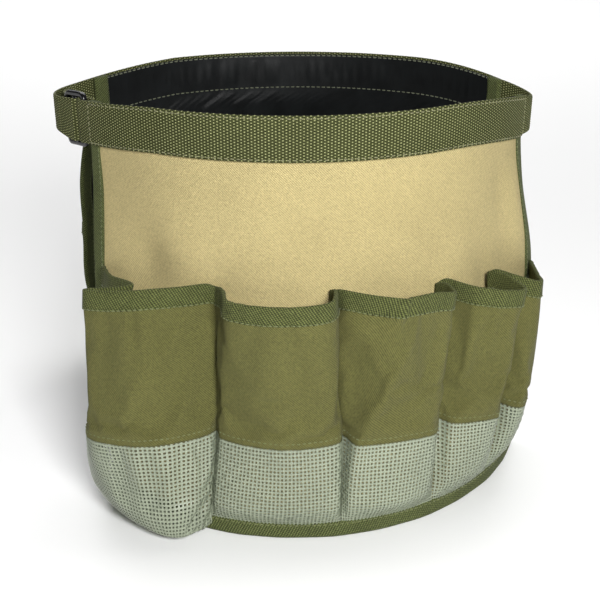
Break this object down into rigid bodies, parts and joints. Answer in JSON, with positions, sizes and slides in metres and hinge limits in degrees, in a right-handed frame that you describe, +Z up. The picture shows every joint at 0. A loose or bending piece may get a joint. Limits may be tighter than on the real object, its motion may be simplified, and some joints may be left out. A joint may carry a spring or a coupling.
{
  "type": "tool bucket organizer",
  "caption": "Two pocketed fabric panels on one webbing belt with a sliding buckle, wrapped round a bucket to hold hand tools.",
  "frame": {"origin": "centre of the base: the middle of the bounding box, at the height of the panels' lower edges", "axes": "+Z up, -Y out of the front panel, +X towards the sewn webbing link, -X towards the buckle"},
  "size_m": [0.2954, 0.3152, 0.2246],
  "materials": {
    "panel_fabric": "tan woven polyester, fine diagonal weave, matt",
    "lining_fabric": "near-black coated lining, slightly shiny",
    "binding_tape": "dark olive folded tape",
    "pocket_fabric": "olive woven polyester, fine diagonal weave, matt",
    "hem_tape": "olive folded hem with a row of stitches",
    "pocket_mesh": "pale grey-green coated open mesh",
    "webbing": "olive woven webbing",
    "buckle_plastic": "black moulded, glossy"
  },
  "bodies": {
    "back_half": {"back_panel": "panel_fabric", "back_lining": "lining_fabric", "back_binding_left": "binding_tape", "back_binding_right": "binding_tape", "back_binding_foot": "binding_tape", "back_belt": "webbing", "back_pocket_1_face": "pocket_fabric", "back_pocket_1_mesh": "pocket_mesh", "back_pocket_1_hem": "hem_tape", "back_pocket_2_face": "pocket_fabric", "back_pocket_2_mesh": "pocket_mesh", "back_pocket_2_hem": "hem_tape", "back_pocket_3_face": "pocket_fabric", "back_pocket_3_mesh": "pocket_mesh", "back_pocket_3_hem": "hem_tape", "back_pocket_4_face": "pocket_fabric", "back_pocket_4_mesh": "pocket_mesh", "back_pocket_4_hem": "hem_tape", "back_pocket_5_face": "pocket_fabric", "back_pocket_5_mesh": "pocket_mesh", "back_pocket_5_hem": "hem_tape", "right_link": "webbing", "strap": "webbing"},
    "front_half": {"front_panel": "panel_fabric", "front_lining": "lining_fabric", "front_binding_left": "binding_tape", "front_binding_right": "binding_tape", "front_binding_foot": "binding_tape", "front_belt": "webbing", "front_pocket_1_face": "pocket_fabric", "front_pocket_1_mesh": "pocket_mesh", "front_pocket_1_hem": "hem_tape", "front_pocket_2_face": "pocket_fabric", "front_pocket_2_mesh": "pocket_mesh", "front_pocket_2_hem": "hem_tape", "front_pocket_3_face": "pocket_fabric", "front_pocket_3_mesh": "pocket_mesh", "front_pocket_3_hem": "hem_tape", "front_pocket_4_face": "pocket_fabric", "front_pocket_4_mesh": "pocket_mesh", "front_pocket_4_hem": "hem_tape", "front_pocket_5_face": "pocket_fabric", "front_pocket_5_mesh": "pocket_mesh", "front_pocket_5_hem": "hem_tape", "belt_loop": "webbing", "strap_tail": "webbing"},
    "buckle": {"buckle": "buckle_plastic", "strap_wrap": "webbing"}
  },
  "joints": [
    {"name": "belt_swing", "type": "hinge", "parent": "back_half", "child": "front_half", "pos_m": [0.14691, 0.01159, 0.2084], "axis": [0, 0, 1], "range_deg": [0, 6], "deforming": ["right_link", "strap", "strap_tail"]},
    {"name": "buckle_tilt", "type": "hinge", "parent": "front_half", "child": "buckle", "pos_m": [-0.12382, -0.02522, 0.2084], "axis": [0, 0, 1], "range_deg": [0, 6]}
  ]
}
